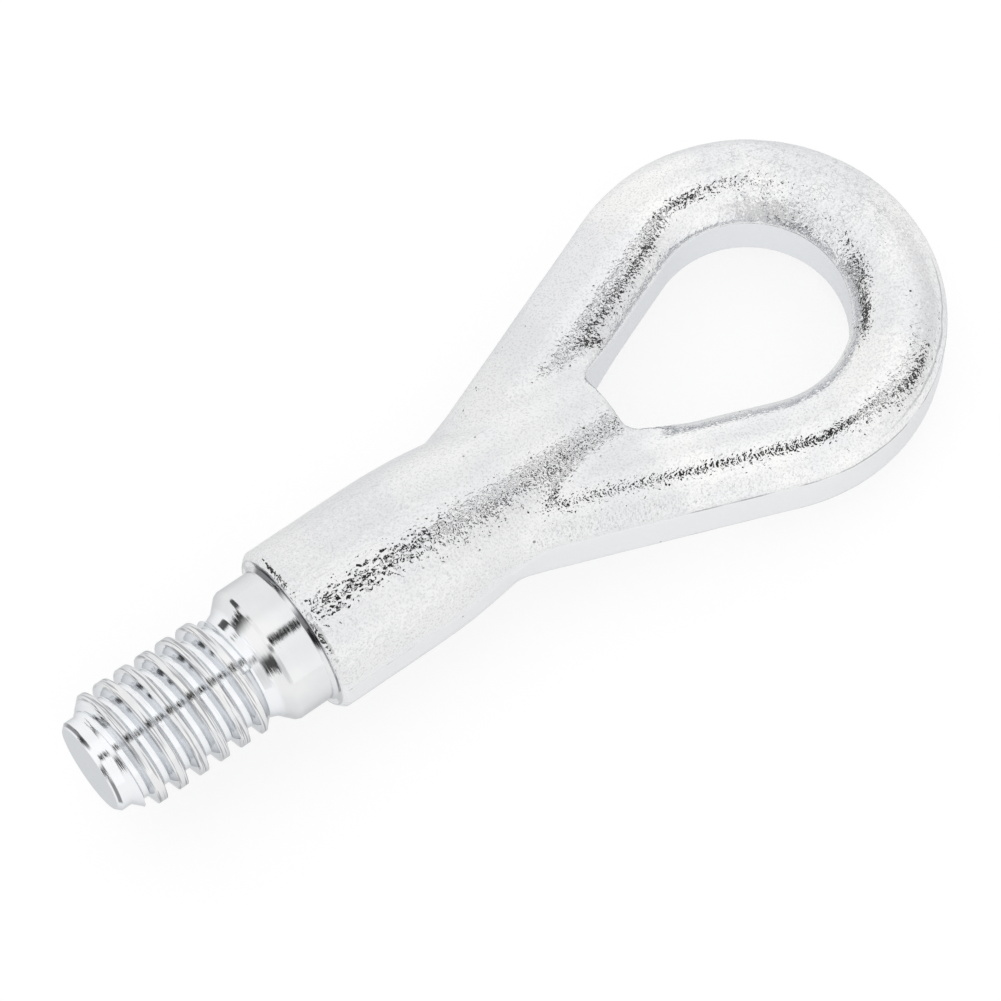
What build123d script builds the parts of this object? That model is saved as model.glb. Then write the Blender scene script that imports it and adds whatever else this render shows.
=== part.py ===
from build123d import *
from math import ceil, cos, radians, sin, sqrt, tan
import os

# Screw-in tow eye: one drop-forged steel piece with a turned and threaded end.
# X runs along the shank from the thread tip to the eye and Z stands square to the eye.
# The seat of the shoulder is the plane X = 0. All sizes are in millimetres.

# Thread, right-hand, with a plain pilot in front of it and a short neck behind it
thread_d = 16.0
thread_pitch = 3.0
thread_depth = 1.5
thread_crest_w = 1.1
thread_flank_deg = 21.0
thread_lead_deg = 45.0
thread_turn_deg = -153.0
neck_len = 0.9
neck_over_root = 0.4
pilot_below_root = 0.3
pilot_len = 1.9
pilot_chamfer = 0.5
tip_to_seat = 29.4

# Cone and collar behind the thread, and the shoulder they end at
cone_deg = 45.0
cone_foot_bevel = 0.6
collar_over_thread = 1.05
collar_len = 5.1
collar_edge_bevel = 0.3
seat_root_bevel = 0.4
seat_edge_bevel = 0.7

# Forged shank: straight, then tapering into the crotch of the eye
shank_d = 22.0
shank_straight = 14.0
shank_taper_deg = 8.5
shank_taper_r = 80.0

# Eye: a round bar bent to a teardrop, flash trimmed and hole pierced square to the parting plane
bar_d = 13.4
bar_trimmed_w = 11.7
hole_crown_r = 12.3
arm_deg = 21.4
eye_x = 69.0
crotch_x = 46.7
crotch_corner_r = 2.2
crotch_nose_len = 7.0
valley_r = 5.0
flare_r = 16.0
shank_flash_depth = 0.15
trim_edge_r = 0.6
over = 0.5

# Sizes that follow from the ones above
thread_r = thread_d / 2
root_r = thread_r - thread_depth
pilot_r = root_r - pilot_below_root
neck_r = root_r + neck_over_root
collar_r = thread_r + collar_over_thread
shank_r = shank_d / 2
seat_step = shank_r - collar_r
seat_root = min(seat_root_bevel, 0.4 * seat_step)
seat_edge = min(seat_edge_bevel, 0.4 * seat_step)
bar_r = bar_d / 2
trim_half = bar_trimmed_w / 2
loop_r = hole_crown_r + trim_half
arm_sin = sin(radians(arm_deg))
arm_cos = cos(radians(arm_deg))
arm_tan = tan(radians(arm_deg))
arm_len = loop_r / arm_tan
apex_x = eye_x - loop_r / arm_sin
tip_x = -tip_to_seat
thread_x = tip_x + pilot_len
cone_top_x = -collar_len
cone_foot_x = cone_top_x - (collar_r - neck_r) / tan(radians(cone_deg))
neck_x = cone_foot_x - neck_len
lead_tan = tan(radians(thread_lead_deg))
lead_x = thread_x + (thread_r - pilot_r) / lead_tan
run_out_x = neck_x - (thread_r - neck_r) / lead_tan
flank_tan = tan(radians(thread_flank_deg))
taper_x = shank_straight + shank_taper_r * sin(radians(shank_taper_deg))
taper_r = shank_r - shank_taper_r * (1 - cos(radians(shank_taper_deg)))
parting_x = apex_x + bar_r / arm_sin
nose_x = max(crotch_x, parting_x + valley_r)
nose_r = taper_r - (nose_x - taper_x) * tan(radians(shank_taper_deg))
nose_end_x = nose_x + crotch_nose_len

# Shank with its turned end, drawn as half a section and spun about X
side = [
    Polyline(
        (tip_x, 0),
        (tip_x, pilot_r - pilot_chamfer),
        (tip_x + pilot_chamfer, pilot_r),
        (thread_x, pilot_r),
        (lead_x, thread_r),
        (run_out_x, thread_r),
        (neck_x, neck_r),
        (cone_foot_x, neck_r),
        (cone_top_x, collar_r),
        (0, collar_r),
        (0, shank_r - seat_edge),
        (seat_edge, shank_r),
        (shank_straight, shank_r),
    ),
    TangentArc((shank_straight, shank_r), (taper_x, taper_r), tangent=(1, 0)),
    Line((taper_x, taper_r), (nose_x, nose_r)),
    TangentArc((nose_x, nose_r), (nose_end_x, 0), tangent=(nose_x - taper_x, nose_r - taper_r)),
    Line((nose_end_x, 0), (tip_x, 0)),
]
half_section = make_face(side)


def corner(face, x, y):
    return face.vertices().filter_by(lambda v: abs(v.X - x) < 1e-6 and abs(v.Y - y) < 1e-6)


half_section = chamfer(corner(half_section, cone_foot_x, neck_r), cone_foot_bevel)
half_section = chamfer(corner(half_section, cone_top_x, collar_r), collar_edge_bevel)
half_section = chamfer(corner(half_section, 0, collar_r), seat_root)
below = Plane(origin=(0, 0, 0), x_dir=(1, 0, 0), z_dir=(0, 1, 0))
shank = revolve(below * half_section, Axis.X)


# Eye loop: two straight arms and the crown that joins them
def arm(way):
    along = Plane(origin=(apex_x, 0, 0), x_dir=(0, 0, 1), z_dir=(arm_cos, way * arm_sin, 0))
    return along * Cylinder(bar_r, arm_len, align=(Align.CENTER, Align.CENTER, Align.MIN))


crown_start = Plane(
    origin=(eye_x - loop_r * arm_sin, loop_r * arm_cos, 0),
    x_dir=(0, 0, 1),
    z_dir=(arm_cos, arm_sin, 0),
)
crown = revolve(crown_start * Circle(bar_r), Axis((eye_x, 0, 0), (0, 0, -1)), 180 + 2 * arm_deg)

# The valleys where the arms leave the shank are rounded by the die
forging = shank + arm(1) + arm(-1) + crown
valleys = forging.edges().filter_by(GeomType.BSPLINE)
forging = fillet(valleys, valley_r)

# Flash trimmed off square to the parting plane, with a wide sweep where the arms flare out,
# and the edges of the trimmed land rounded along the arms and the crown
trim_r = shank_r - shank_flash_depth
arm_way = Vector(arm_cos, arm_sin)
arm_out = Vector(-arm_sin, arm_cos)
taper_centre = Vector(shank_straight, trim_r - shank_taper_r)
from_taper = Vector(apex_x, 0) + arm_out * (trim_half + flare_r) - taper_centre
slide = from_taper.dot(arm_way)
slide -= sqrt(slide**2 - from_taper.dot(from_taper) + (shank_taper_r + flare_r) ** 2)
flare_way = from_taper - arm_way * slide
flare_centre = taper_centre + flare_way
flare_start = taper_centre + flare_way.normalized() * shank_taper_r
flare_end = flare_centre - arm_out * flare_r
flare_mid = flare_centre - (flare_way.normalized() + arm_out).normalized() * flare_r
outer_r = loop_r + trim_half
outer_end = Vector(eye_x, 0) + arm_out * outer_r


def trim_side(way):
    start, mid, end, last = [(p.X, way * p.Y) for p in (flare_start, flare_mid, flare_end, outer_end)]
    return [
        Line((tip_x - over, way * trim_r), (shank_straight, way * trim_r)),
        TangentArc((shank_straight, way * trim_r), start, tangent=(1, 0)),
        ThreePointArc(start, mid, end),
        Line(end, last),
    ]


trim_ends = [
    ThreePointArc(outer_end, (eye_x + outer_r, 0), (outer_end.X, -outer_end.Y)),
    Line((tip_x - over, -trim_r), (tip_x - over, trim_r)),
]
trim_outline = make_face(trim_side(1) + trim_side(-1) + trim_ends)
trim_block = extrude(trim_outline, shank_d, both=True)
trimmed = forging & trim_block
land_edges = new_edges(forging, trim_block, combined=trimmed)
forging = fillet(land_edges.filter_by(lambda e: e.center().X > flare_end.X), trim_edge_r)

# Hole pierced straight through: crown arc, two flats along the arms and the wall of the crotch
flat_x = eye_x - hole_crown_r * arm_sin
flat_y = hole_crown_r * arm_cos
wall_y = flat_y - (flat_x - crotch_x) * arm_tan
hole = make_face(
    [
        Polyline((flat_x, -flat_y), (crotch_x, -wall_y), (crotch_x, wall_y), (flat_x, flat_y)),
        ThreePointArc((flat_x, flat_y), (eye_x + hole_crown_r, 0), (flat_x, -flat_y)),
    ]
)
wall_corners = corner(hole, crotch_x, wall_y) + corner(hole, crotch_x, -wall_y)
hole = fillet(wall_corners, min(crotch_corner_r, wall_y))
forging = forging - extrude(hole, shank_d, both=True)

# Thread groove cut turn by turn on a helix, from the neck in front of the cone to clear of the pilot
groove_low_half = (thread_pitch - thread_crest_w) / 2 - thread_depth * flank_tan
groove_high_half = (thread_pitch - thread_crest_w) / 2 + over * flank_tan
groove_section = Plane.XZ * make_face(
    Polyline(
        (root_r, -groove_low_half),
        (thread_r + over, -groove_high_half),
        (thread_r + over, groove_high_half),
        (root_r, groove_low_half),
        close=True,
    )
)
one_turn = sweep(groove_section, Helix(thread_pitch, thread_pitch, thread_r), is_frenet=True)
one_turn = Rot(thread_turn_deg, 90, 0) * one_turn
groove_end_x = cone_foot_x - groove_high_half
turns = ceil((groove_end_x - thread_x + groove_high_half) / thread_pitch)
tow_eye = forging
for turn in range(turns):
    tow_eye = tow_eye - Pos(groove_end_x - (turn + 1) * thread_pitch, 0, 0) * one_turn

os.makedirs("parts", exist_ok=True)
export_step(tow_eye, "parts/tow_eye.step")
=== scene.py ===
import math

import bpy
from mathutils import Matrix, Vector


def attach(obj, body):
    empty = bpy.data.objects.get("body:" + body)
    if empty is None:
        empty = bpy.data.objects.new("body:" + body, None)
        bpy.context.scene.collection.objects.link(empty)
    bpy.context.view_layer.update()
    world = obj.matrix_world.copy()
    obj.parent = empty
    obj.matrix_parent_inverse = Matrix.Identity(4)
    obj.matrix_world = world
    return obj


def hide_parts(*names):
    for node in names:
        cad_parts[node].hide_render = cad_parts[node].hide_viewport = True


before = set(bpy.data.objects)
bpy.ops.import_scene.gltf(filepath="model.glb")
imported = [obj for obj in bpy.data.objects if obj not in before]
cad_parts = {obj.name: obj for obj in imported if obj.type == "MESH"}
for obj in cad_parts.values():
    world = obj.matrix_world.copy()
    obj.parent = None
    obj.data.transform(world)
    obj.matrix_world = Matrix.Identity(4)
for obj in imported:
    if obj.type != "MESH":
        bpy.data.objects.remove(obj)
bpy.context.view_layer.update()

scene = bpy.context.scene
scene.view_settings.view_transform = "Standard"

# Sizes are in millimetres and angles in degrees, turned into metres and radians where they are used
mm = 0.001

# Camera: it looks down on the eye, turned away from the axis of the shank
image_px = 1001
sensor_width = 36.0
look_at = Vector((30.37, -0.86, 0.0))
camera_distance = 704.3
camera_elevation = 65.0
camera_near = 10.0
camera_far = 10000.0
shank_turn = 36.63
px_per_mm = 8.296

# Gaps of the white tent of light: azimuth, elevation, half length upwards, half width, soft edge, darkness
tent_gaps = (
    (-13.0, 73.5, 5.0, 6.0, 4.0, 0.97),
    (0.0, 50.0, 18.0, 0.8, 2.5, 0.7),
    (19.0, 57.0, 12.0, 0.7, 2.5, 0.7),
    (-4.0, 45.0, 5.0, 2.0, 2.5, 0.9),
    (4.0, 28.0, 8.0, 4.0, 4.0, 0.93),
    (175.0, 31.0, 8.0, 5.0, 5.0, 0.95),
    (-113.0, 50.0, 4.0, 4.0, 4.0, 0.7),
    (-124.0, 5.0, 7.0, 7.0, 7.0, 0.9),
    (148.0, 10.0, 8.0, 8.0, 6.0, 0.9),
    (-106.0, 15.0, 16.0, 16.0, 26.0, 0.32),
    (24.0, 0.0, 20.0, 20.0, 50.0, 0.2),
    (147.0, 30.0, 26.0, 26.0, 23.0, 0.08),
    (170.0, 0.0, 5.0, 9.0, 18.0, 0.95),
)
tent_strength = 1.1
tent_white = (1.0, 1.0, 1.0, 1.0)
gap_front_fade = 0.2

# Mesh of the forged skin, made uneven all over and more so where the crown was bent
merge_gap = 0.001
seat_cut_x = -0.01
turned_overlap = 0.6
skin_cell = 0.35
skin_smoothing = 3
smoothing_share = 0.5
skin_wave = 7.0
skin_wave_height = 0.09
peel_wave = 2.2
peel_wave_height = 0.05
peel_inward = 0.8
crisp_edge = 18.0

# Stretches of the forged skin
specks_full_x = 17.0
specks_end_x = 22.0
fine_start_x = 17.0
fine_end_x = 49.0
fine_soft = 5.0
crotch_x = 46.7
crotch_soft = 1.0
peel_start_x = 66.0
peel_full_x = 82.0
peel_near_y = -9.0
peel_far_y = 3.0
peel_near_share = 0.4
flash_start_y = -6.0
flash_full_y = -10.0
eye_centre = Vector((69.0, 0.0, 0.0))
hole_side = 4.0

# Upright share of the normal on the trimmed lands, on the skin and at the creases between them
land_upright = 0.10
skin_upright = 0.34
crease_upright = (0.14, 0.38)
crease_soft = 0.08
flash_upright = (0.62, 0.68)
flash_soft = 0.025

# Grain of the forged skin: how wide and how high it is
speck_grain = 0.9
speck_height = 0.19
fine_grain = 0.4
fine_height = 0.043
taper_height = 0.066
fine_among_specks = 0.6
wrinkle_grain = 0.75
wrinkle_height = 0.2
shear_grain = 0.4
shear_height = 0.02
shear_draw = (0.05, 0.05, 1.0)
flake_cell = 0.3
flake_chosen = (0.65, 1.0)
flake_lean = 0.4
mid_grey = (0.5, 0.5, 0.5)

# Pits, creases, dull grains and fine strokes: sizes, limits of the noise that breaks them up, and strength;
# pits, creases and the flash line are darkened with painted shade
pits_per_metre = 420.0
pit_patch = 6.0
pit_limits = (0.52, 0.75)
pit_size = 0.14
pit_edge = 0.03
pit_depth = 0.05
pit_shade_share = 0.7
crease_patch = 9.0
crease_limits = (0.44, 0.56)
crease_shade_share = 0.6
hole_crease_shade_share = 0.1
flash_shade_share = 0.45
dull_grain = 0.26
dull_limits = (0.52, 0.3)
dull_share = 0.5
stroke_cell = 0.65
stroke_bend = 0.8
stroke_bend_grain = 0.7
stroke_width = (0.03, 0.1)
stroke_patch = 1.2
stroke_limits = (0.46, 0.58)
stroke_share = 0.8

# Turned end: lines of the lathe and the thread, painted dark reflections and painted highlights on the
# thread, and painted shade at the seat and the tip
thread_pitch = 3.0
thread_end_x = -8.2
thread_end_soft = 0.3
thread_groove_r = 7.4
thread_crest_r = 7.9
line_grain = 0.13
line_draw = (0.0, 0.04, 0.04)
line_height = 0.018
thread_line_height = 0.03
thread_reflection_grain = 0.24
thread_reflection_limits = (0.5, 0.38)
thread_reflection_share = 0.75
edge_r = 0.2
edge_samples = 6
seat_corner_x = (-0.5, 0.1)
seat_corner_soft = 0.12
seat_shade_arcs = ((-0.95, -0.25), (0.05, 0.8))
seat_arc_soft = 0.2
seat_shade_share = 0.85
tip_rim_x = (-29.3, -28.8)
tip_rim_soft = 0.15
tip_rim_patch = 7.0
tip_rim_limits = (0.46, 0.54)
tip_rim_shade_share = 0.8

# Colours and roughness of the zinc
tone_limits = (0.35, 0.65)
forged_patch = 11.0
forged_cool = (0.80, 0.805, 0.82, 1.0)
forged_warm = (0.90, 0.90, 0.89, 1.0)
shank_zinc = (0.73, 0.735, 0.745, 1.0)
shank_share = 0.5
dull_zinc = (0.55, 0.555, 0.57, 1.0)
land_zinc = (0.86, 0.865, 0.875, 1.0)
pierced_zinc = (0.81, 0.825, 0.85, 1.0)
# painted shade for the creases of the lands and the flash line
crease_and_flash_shade = (0.22, 0.225, 0.24, 1.0)
# painted shade in the pits
pit_shade = (0.12, 0.12, 0.13, 1.0)
turned_patch = 6.0
turned_cool = (0.76, 0.77, 0.785, 1.0)
turned_warm = (0.82, 0.82, 0.82, 1.0)
# painted dark reflections on the thread
thread_reflection_dark = (0.3, 0.305, 0.32, 1.0)
# painted highlight in the grooves of the thread
groove_highlight = (0.87, 0.885, 0.905, 1.0)
# painted shade in the corner of the seat and at the rim of the tip
seat_and_tip_shade = (0.1, 0.1, 0.11, 1.0)
forged_edge_tint = (0.82, 0.825, 0.83, 1.0)
turned_edge_tint = (0.68, 0.69, 0.70, 1.0)
skin_roughness = 0.03
land_roughness = 0.30
turned_roughness = 0.08

# Floor: the shank and the crown of the eye rest on it
shank_rest = 11.0
crown_rest = 6.7
shank_rest_x = 14.0
crown_rest_x = 87.2
floor_gap = 0.02
floor_size = 6000.0
floor_grey = (0.3, 0.3, 0.3, 1.0)
floor_glow = 0.74

tilt = math.radians(camera_elevation)
turn = Matrix.Rotation(-math.radians(shank_turn), 3, "Z")


def place_camera():
    back = turn @ Vector((0.0, -math.cos(tilt), math.sin(tilt)))
    right = turn @ Vector((1.0, 0.0, 0.0))
    up = back.cross(right)
    data = bpy.data.cameras.new("camera")
    data.sensor_width = sensor_width
    data.lens = sensor_width * px_per_mm * camera_distance / image_px
    data.clip_start = camera_near * mm
    data.clip_end = camera_far * mm
    camera = bpy.data.objects.new("camera", data)
    scene.collection.objects.link(camera)
    pose = Matrix((right, up, back)).transposed().to_4x4()
    pose.translation = (look_at + back * camera_distance) * mm
    camera.matrix_world = pose
    scene.camera = camera


# Node helpers
def put(tree, node, socket, value):
    if isinstance(value, bpy.types.NodeSocket):
        tree.links.new(value, node.inputs[socket])
    else:
        node.inputs[socket].default_value = value


def add(tree, kind, **sockets):
    """New node, with its input sockets set or linked by name."""
    node = tree.nodes.new("ShaderNode" + kind)
    for name, value in sockets.items():
        put(tree, node, name.replace("_", " "), value)
    return node


def calc(tree, operation, *values):
    node = tree.nodes.new("ShaderNodeMath")
    node.operation = operation
    for place, value in enumerate(values):
        put(tree, node, place, value)
    return node.outputs[0]


def times(tree, first, *others):
    for other in others:
        first = calc(tree, "MULTIPLY", first, other)
    return first


def total(tree, first, *others):
    for other in others:
        first = calc(tree, "ADD", first, other)
    return first


def rest_of(tree, share):
    return calc(tree, "SUBTRACT", 1.0, share)


def dot(tree, first, second):
    node = tree.nodes.new("ShaderNodeVectorMath")
    node.operation = "DOT_PRODUCT"
    put(tree, node, 0, first)
    put(tree, node, 1, second)
    return node.outputs["Value"]


def combine(tree, operation, first, second=None):
    node = tree.nodes.new("ShaderNodeVectorMath")
    node.operation = operation
    put(tree, node, 0, first)
    if operation == "SCALE":
        put(tree, node, "Scale", second)
    elif second is not None:
        put(tree, node, 1, second)
    return node.outputs["Vector"]


def fade(tree, value, low, high, at_low=0.0, at_high=1.0):
    """Smooth step of a value from low to high."""
    node = tree.nodes.new("ShaderNodeMapRange")
    node.interpolation_type = "SMOOTHSTEP"
    put(tree, node, "Value", value)
    put(tree, node, "From Min", low)
    put(tree, node, "From Max", high)
    put(tree, node, "To Min", at_low)
    put(tree, node, "To Max", at_high)
    return node.outputs["Result"]


def between(tree, share, low, high):
    """From low where the share is none to high where it is whole."""
    return fade(tree, share, 0.0, 1.0, low, high)


def band(tree, value, low, high, soft):
    """One between low and high, with soft edges inside them."""
    rise = fade(tree, value, low, low + soft)
    return times(tree, rise, fade(tree, value, high - soft, high, 1.0, 0.0))


def noise(tree, place, grain, detail=1.0):
    node = add(tree, "TexNoise", Vector=place, Scale=1.0 / (grain * mm), Detail=detail)
    return node.outputs["Fac"]


def patches(tree, place, grain, limits, share=1.0, detail=2.0):
    """Patches of a noise, none at its first limit and full at its second."""
    return fade(tree, noise(tree, place, grain, detail), *limits, 0.0, share)


def stretched(tree, place, scale):
    node = add(tree, "Mapping", Vector=place)
    node.inputs["Scale"].default_value = scale
    return node.outputs["Vector"]


def blend(tree, share, low, high):
    node = tree.nodes.new("ShaderNodeMix")
    node.data_type = "RGBA"
    put(tree, node, 0, share)
    put(tree, node, 6, low)
    put(tree, node, 7, high)
    return node.outputs[2]


def relief(tree, height, normal):
    node = add(tree, "Bump", Height=height, Distance=mm, Normal=normal)
    return node.outputs["Normal"]


# Light
def compass(azimuth, elevation):
    """Direction in the frame from an azimuth seen in the picture and a height above the floor."""
    a = math.radians(azimuth)
    e = math.radians(elevation)
    return turn @ Vector((math.cos(a) * math.cos(e), math.sin(a) * math.cos(e), math.sin(e)))


def sine(degrees):
    return math.sin(math.radians(min(degrees, 90.0)))


def light_left(tree, way, azimuth, elevation, half_length, half_width, soft, dark):
    """Share of the light that one gap leaves in each direction."""
    toward = compass(azimuth, elevation)
    across = toward.cross(Vector((0.0, 0.0, 1.0))).normalized()
    along = across.cross(toward)
    inside = fade(tree, dot(tree, way, toward), 0.0, gap_front_fade)
    for side, half in ((along, half_length), (across, half_width)):
        off = calc(tree, "ABSOLUTE", dot(tree, way, side))
        inside = times(tree, inside, fade(tree, off, sine(half), sine(half + soft), 1.0, 0.0))
    return rest_of(tree, times(tree, inside, dark))


def hang_tent():
    """White all round; the metal mirrors the gaps as dark streaks."""
    world = bpy.data.worlds.new("tent")
    scene.world = world
    world.use_nodes = True
    tree = world.node_tree
    tree.nodes.clear()
    way = add(tree, "TexCoord").outputs["Generated"]
    level = tent_strength
    for gap in tent_gaps:
        level = times(tree, light_left(tree, way, *gap), level)
    tent = add(tree, "Background", Color=tent_white, Strength=level)
    add(tree, "OutputWorld", Surface=tent.outputs[0])


# Finish: bright zinc over the forged skin and over the turned end
def zinc_tone():
    """Node group: patches of cooler and warmer zinc."""
    group = bpy.data.node_groups.new("zinc_tone", "ShaderNodeTree")
    face = group.interface
    face.new_socket("Place", in_out="INPUT", socket_type="NodeSocketVector")
    face.new_socket("Patches", in_out="INPUT", socket_type="NodeSocketFloat")
    face.new_socket("Cool", in_out="INPUT", socket_type="NodeSocketColor")
    face.new_socket("Warm", in_out="INPUT", socket_type="NodeSocketColor")
    face.new_socket("Tone", in_out="OUTPUT", socket_type="NodeSocketColor")
    given = group.nodes.new("NodeGroupInput").outputs
    result = group.nodes.new("NodeGroupOutput")
    cloud = add(group, "TexNoise", Vector=given["Place"], Scale=given["Patches"], Detail=3.0)
    share = fade(group, cloud.outputs["Fac"], *tone_limits)
    tone = blend(group, share, given["Cool"], given["Warm"])
    group.links.new(tone, result.inputs["Tone"])
    return group


def toned(tree, group, place, patch, cool, warm):
    node = tree.nodes.new("ShaderNodeGroup")
    node.node_tree = group
    put(tree, node, "Place", place)
    put(tree, node, "Patches", 1.0 / (patch * mm))
    put(tree, node, "Cool", cool)
    put(tree, node, "Warm", warm)
    return node.outputs["Tone"]


def new_finish(name, edge_tint):
    material = bpy.data.materials.new(name)
    material.use_nodes = True
    metal = material.node_tree.nodes["Principled BSDF"]
    metal.inputs["Metallic"].default_value = 1.0
    metal.inputs["Specular Tint"].default_value = edge_tint
    return material, material.node_tree, metal


def forged_finish(tone_group):
    material, tree, metal = new_finish("zinc_on_forged_skin", forged_edge_tint)
    place = add(tree, "TexCoord").outputs
    spot = place["Object"]
    facing = place["Normal"]
    at = add(tree, "SeparateXYZ", Vector=spot).outputs
    upright = calc(tree, "ABSOLUTE", add(tree, "SeparateXYZ", Vector=facing).outputs["Z"])

    # Where the skin is: trimmed and pierced lands, the crown, the taper, the shank behind the shoulder
    land = fade(tree, upright, land_upright, skin_upright, 1.0, 0.0)
    skin = rest_of(tree, land)
    outward = combine(tree, "SUBTRACT", spot, eye_centre * mm)
    to_hole = fade(tree, dot(tree, outward, facing), 0.0, -hole_side * mm)
    past_crotch = fade(tree, at["X"], (crotch_x - crotch_soft) * mm, (crotch_x + crotch_soft) * mm)
    before_crotch = rest_of(tree, past_crotch)
    pierced = times(tree, land, to_hole, past_crotch)
    far_side = fade(tree, at["Y"], peel_near_y * mm, peel_far_y * mm, peel_near_share, 1.0)
    near_side = fade(tree, at["Y"], flash_start_y * mm, flash_full_y * mm)
    crown_end = fade(tree, at["X"], peel_start_x * mm, peel_full_x * mm)
    crown = times(tree, crown_end, far_side)
    taper = band(tree, at["X"], fine_start_x * mm, fine_end_x * mm, fine_soft * mm)
    shank = fade(tree, at["X"], specks_full_x * mm, specks_end_x * mm, 1.0, 0.0)

    # Heights in millimetres: fine grain, specks behind the shoulder, a peel on the crown, drawn lands
    specks = times(tree, noise(tree, spot, speck_grain), speck_height, shank)
    calm = between(tree, shank, 1.0, fine_among_specks)
    fine = times(tree, noise(tree, spot, fine_grain), between(tree, taper, fine_height, taper_height), calm)
    peel = times(tree, noise(tree, spot, wrinkle_grain, 2.0), wrinkle_height, crown)
    grain = times(tree, total(tree, specks, fine, peel), skin)
    drawn = noise(tree, stretched(tree, spot, shear_draw), shear_grain, 2.0)
    shear = times(tree, drawn, shear_height, land)

    # Sparse pits; their colour gets painted shade further down
    cells = add(tree, "TexVoronoi", Vector=spot, Scale=pits_per_metre)
    pit_reach = patches(tree, spot, pit_patch, pit_limits, pit_size)
    pits = fade(tree, calc(tree, "SUBTRACT", pit_reach, cells.outputs["Distance"]), 0.0, pit_edge)
    height = calc(tree, "SUBTRACT", total(tree, grain, shear), times(tree, pits, pit_depth))

    # Flakes: small cells of the skin, some of them tilted
    flakes = add(tree, "TexVoronoi", Vector=spot, Scale=1.0 / (flake_cell * mm)).outputs["Color"]
    chosen = fade(tree, add(tree, "SeparateXYZ", Vector=flakes).outputs["Z"], *flake_chosen)
    lean = combine(tree, "SUBTRACT", flakes, mid_grey)
    lean = combine(tree, "SCALE", lean, times(tree, chosen, skin, calm, flake_lean))
    leaning = combine(tree, "ADD", add(tree, "NewGeometry").outputs["Normal"], lean)
    put(tree, metal, "Normal", relief(tree, height, combine(tree, "NORMALIZE", leaning)))

    # Painted shade along the creases at the edges of the lands, broken into stretches, and along the flash
    # line on the near side
    edge = band(tree, upright, *crease_upright, crease_soft)
    stretch = patches(tree, spot, crease_patch, crease_limits, detail=3.0)
    crease_shade_level = between(tree, to_hole, crease_shade_share, hole_crease_shade_share)
    crease_shade = times(tree, edge, past_crotch, stretch, crease_shade_level)
    flash_line_shade = times(tree, band(tree, upright, *flash_upright, flash_soft), near_side, crown_end)
    flash_line_shade = times(tree, flash_line_shade, rest_of(tree, to_hole), flash_shade_share)
    crease_shade = calc(tree, "MAXIMUM", crease_shade, flash_line_shade)

    # Dull grains all over and fine bent strokes on the crown
    dull = patches(tree, spot, dull_grain, dull_limits, dull_share, detail=1.0)
    cloud = add(tree, "TexNoise", Vector=spot, Scale=1.0 / (stroke_bend_grain * mm), Detail=1.0)
    bend = combine(tree, "SUBTRACT", cloud.outputs["Color"], mid_grey)
    bent = combine(tree, "ADD", spot, combine(tree, "SCALE", bend, stroke_bend * mm))
    seams = add(tree, "TexVoronoi", Vector=bent, Scale=1.0 / (stroke_cell * mm))
    seams.feature = "DISTANCE_TO_EDGE"
    strokes = fade(tree, seams.outputs["Distance"], *stroke_width, 1.0, 0.0)
    strokes = times(tree, strokes, patches(tree, spot, stroke_patch, stroke_limits, stroke_share), crown)
    dull = calc(tree, "MAXIMUM", dull, strokes)

    tone = toned(tree, tone_group, spot, forged_patch, forged_cool, forged_warm)
    tone = blend(tree, times(tree, before_crotch, shank_share), tone, shank_zinc)
    tone = blend(tree, dull, tone, dull_zinc)
    tone = blend(tree, land, tone, land_zinc)
    tone = blend(tree, pierced, tone, pierced_zinc)
    # painted shade along the creases and the flash line
    tone = blend(tree, crease_shade, tone, crease_and_flash_shade)
    # painted shade in the pits
    tone = blend(tree, times(tree, pits, pit_shade_share), tone, pit_shade)
    put(tree, metal, "Base Color", tone)
    put(tree, metal, "Roughness", between(tree, land, skin_roughness, land_roughness))
    return material


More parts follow.
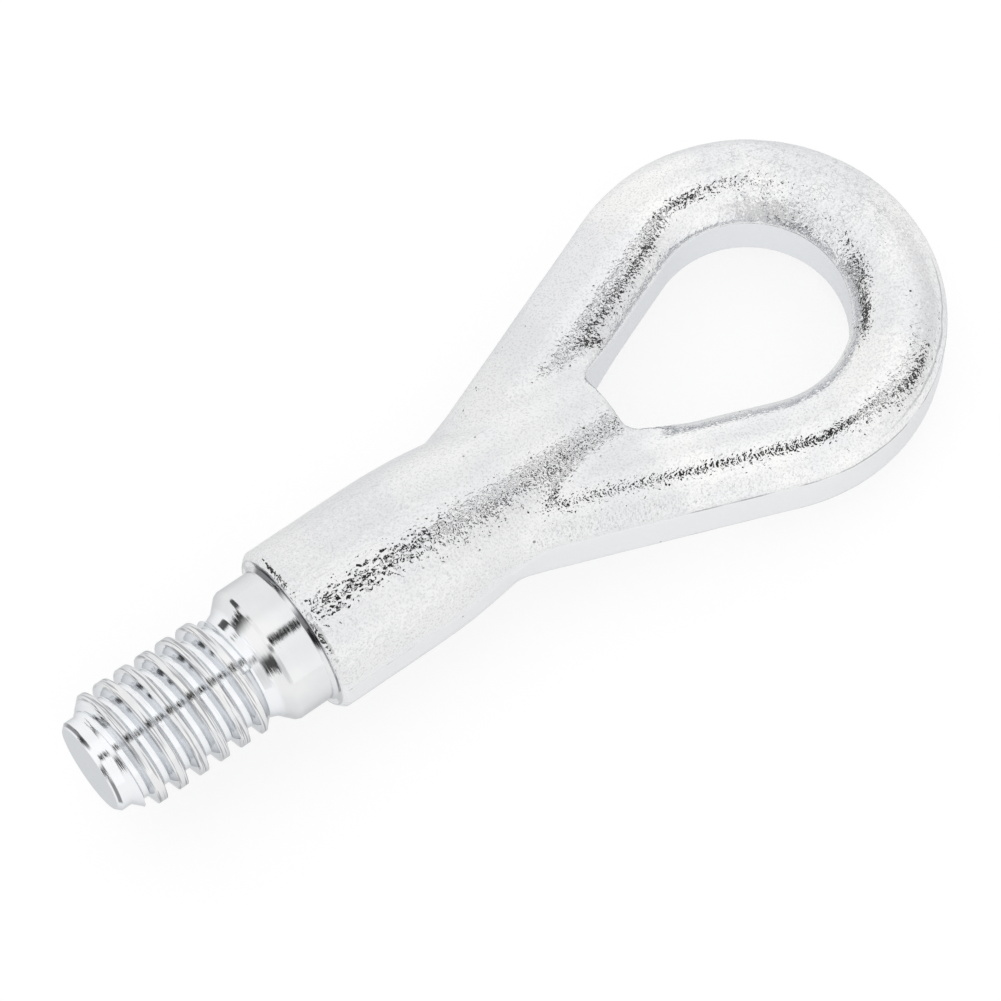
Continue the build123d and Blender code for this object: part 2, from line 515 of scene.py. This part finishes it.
def turned_finish(tone_group):
    material, tree, metal = new_finish("zinc_on_turned_end", turned_edge_tint)
    spot = add(tree, "TexCoord").outputs["Object"]
    at = add(tree, "SeparateXYZ", Vector=spot).outputs
    along = at["X"]
    radius = calc(tree, "SQRT", total(tree, *[times(tree, at[n], at[n]) for n in "YZ"]))
    angle = calc(tree, "ARCTAN2", times(tree, at["Y"], -1.0), at["Z"])
    thread = fade(tree, along, thread_end_x * mm, (thread_end_x - thread_end_soft) * mm)

    # Fine lines around the axis, wound along the helix on the thread
    screwed = times(tree, angle, thread, -thread_pitch * mm / (2.0 * math.pi))
    wound = add(tree, "CombineXYZ", X=total(tree, along, screwed)).outputs[0]
    around = combine(tree, "ADD", wound, stretched(tree, spot, line_draw))
    lift = between(tree, thread, line_height, thread_line_height)
    lines = times(tree, noise(tree, around, line_grain, 2.0), lift)
    soft = add(tree, "Bevel", Radius=edge_r * mm)
    soft.samples = edge_samples
    put(tree, metal, "Normal", relief(tree, lines, soft.outputs["Normal"]))

    # Painted dark reflections in patches on the thread, and a painted highlight in the grooves between the
    # crests
    tone = toned(tree, tone_group, spot, turned_patch, turned_cool, turned_warm)
    thread_dark_reflections = patches(tree, around, thread_reflection_grain, thread_reflection_limits, thread_reflection_share)
    tone = blend(tree, times(tree, thread_dark_reflections, thread), tone, thread_reflection_dark)
    lit_groove = fade(tree, radius, thread_groove_r * mm, thread_crest_r * mm, 1.0, 0.0)
    tone = blend(tree, lit_groove, tone, groove_highlight)

    # Painted shade in the corner of the seat and around the edge of the tip
    corner = band(tree, along, *[x * mm for x in seat_corner_x], seat_corner_soft * mm)
    rim = band(tree, along, *[x * mm for x in tip_rim_x], tip_rim_soft * mm)
    arcs = total(tree, *[band(tree, angle, *ends, seat_arc_soft) for ends in seat_shade_arcs])
    stretch = patches(tree, spot, tip_rim_patch, tip_rim_limits, tip_rim_shade_share)
    dark = total(tree, times(tree, corner, arcs, seat_shade_share), times(tree, rim, stretch))
    tone = blend(tree, dark, tone, seat_and_tip_shade)
    put(tree, metal, "Base Color", tone)
    metal.inputs["Roughness"].default_value = turned_roughness
    return material


# Mesh helpers
def edit(piece):
    bpy.ops.object.select_all(action="DESELECT")
    piece.select_set(True)
    bpy.context.view_layer.objects.active = piece
    bpy.ops.object.mode_set(mode="EDIT")
    bpy.ops.mesh.select_mode(type="VERT")
    bpy.ops.mesh.select_all(action="SELECT")


def leave():
    bpy.ops.object.mode_set(mode="OBJECT")


def apply(piece, kind, **settings):
    """Adds a modifier with these settings and applies it."""
    modifier = piece.modifiers.new(kind.lower(), kind)
    for name, value in settings.items():
        setattr(modifier, name, value)
    bpy.context.view_layer.objects.active = piece
    bpy.ops.object.modifier_apply(modifier=modifier.name)


def uneven(piece, name, size, height, **settings):
    """Moves the skin in and out by a cloud of this size and height."""
    texture = bpy.data.textures.new(name, "CLOUDS")
    texture.noise_scale = size * mm
    texture.noise_depth = 1
    apply(piece, "DISPLACE", texture=texture, texture_coords="LOCAL", strength=height * mm, **settings)


def copy_of_solid(name):
    """Merged copy of the CAD solid in edit mode, as a new object at the origin."""
    piece = bpy.data.objects.new(name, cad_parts["tow_eye"].data.copy())
    scene.collection.objects.link(piece)
    edit(piece)
    bpy.ops.mesh.customdata_custom_splitnormals_clear()
    bpy.ops.mesh.remove_doubles(threshold=merge_gap * mm)
    return piece


def cut_at_seat(**settings):
    bpy.ops.mesh.bisect(plane_co=(seat_cut_x * mm, 0.0, 0.0), plane_no=(1.0, 0.0, 0.0), **settings)


def cover(piece, finish):
    piece.data.materials.clear()
    piece.data.materials.append(finish)


def forged_body(finish):
    """Everything from the seat of the shoulder on, with soft edges and an uneven forged skin."""
    piece = copy_of_solid("tow_eye_forging")
    cut_at_seat(use_fill=True, clear_inner=True)
    leave()
    apply(piece, "REMESH", mode="VOXEL", voxel_size=skin_cell * mm)
    apply(piece, "SMOOTH", factor=smoothing_share, iterations=skin_smoothing)
    crown = piece.vertex_groups.new(name="crown")
    for vertex in piece.data.vertices:
        share = (vertex.co.x / mm - peel_start_x) / (peel_full_x - peel_start_x)
        crown.add([vertex.index], min(max(share, 0.0), 1.0), "REPLACE")
    uneven(piece, "forged_wave", skin_wave, skin_wave_height)
    uneven(piece, "bent_peel", peel_wave, peel_wave_height, mid_level=peel_inward, vertex_group="crown")
    cover(piece, finish)
    return piece


def turned_end(finish):
    """Collar, cone, thread and pilot, let a little way into the forging."""
    piece = copy_of_solid("tow_eye_end")
    cut_at_seat(clear_outer=True)
    bpy.ops.mesh.select_all(action="DESELECT")
    bpy.ops.mesh.select_non_manifold()
    bpy.ops.mesh.extrude_edges_move(TRANSFORM_OT_translate={"value": (turned_overlap * mm, 0.0, 0.0)})
    bpy.ops.mesh.edge_face_add()
    bpy.ops.mesh.select_all(action="SELECT")
    bpy.ops.mesh.normals_make_consistent(inside=False)
    leave()
    cover(piece, finish)
    return piece


def crisp_bevels(piece):
    """Smooth shading all over, except at the small bevels of the turned end."""
    edit(piece)
    bpy.ops.mesh.faces_shade_smooth()
    bpy.ops.mesh.select_mode(type="FACE")
    bpy.ops.mesh.select_all(action="DESELECT")
    piece.active_material_index = 0
    bpy.ops.object.material_slot_select()
    bpy.ops.mesh.hide(unselected=False)
    bpy.ops.mesh.select_mode(type="EDGE")
    bpy.ops.mesh.edges_select_sharp(sharpness=math.radians(crisp_edge))
    bpy.ops.mesh.mark_sharp()
    bpy.ops.mesh.reveal(select=False)
    leave()


def dress_tow_eye():
    tone_group = zinc_tone()
    piece = forged_body(forged_finish(tone_group))
    end = turned_end(turned_finish(tone_group))
    apply(piece, "BOOLEAN", object=end, operation="UNION", solver="MANIFOLD", material_mode="TRANSFER")
    bpy.data.objects.remove(end)
    crisp_bevels(piece)
    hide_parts("tow_eye")
    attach(piece, "root")


def lay_floor():
    slope = math.atan2(shank_rest - crown_rest, crown_rest_x - shank_rest_x)
    bpy.ops.object.select_all(action="DESELECT")
    bpy.ops.mesh.primitive_plane_add(size=floor_size * mm, location=(0.0, 0.0, 0.0))
    floor = bpy.context.object
    floor.name = "floor"
    floor.rotation_euler = (0.0, -slope, 0.0)
    floor.location = (shank_rest_x * mm, 0.0, -(shank_rest + floor_gap) * mm)
    sheet = bpy.data.materials.new("white_sheet")
    sheet.use_nodes = True
    tree = sheet.node_tree
    tree.nodes.clear()
    matte = add(tree, "BsdfDiffuse", Color=floor_grey)
    glow = add(tree, "Emission", Strength=floor_glow)
    both = tree.nodes.new("ShaderNodeAddShader")
    tree.links.new(matte.outputs[0], both.inputs[0])
    tree.links.new(glow.outputs[0], both.inputs[1])
    add(tree, "OutputMaterial", Surface=both.outputs[0])
    floor.data.materials.append(sheet)


place_camera()
hang_tent()
dress_tow_eye()
lay_floor()
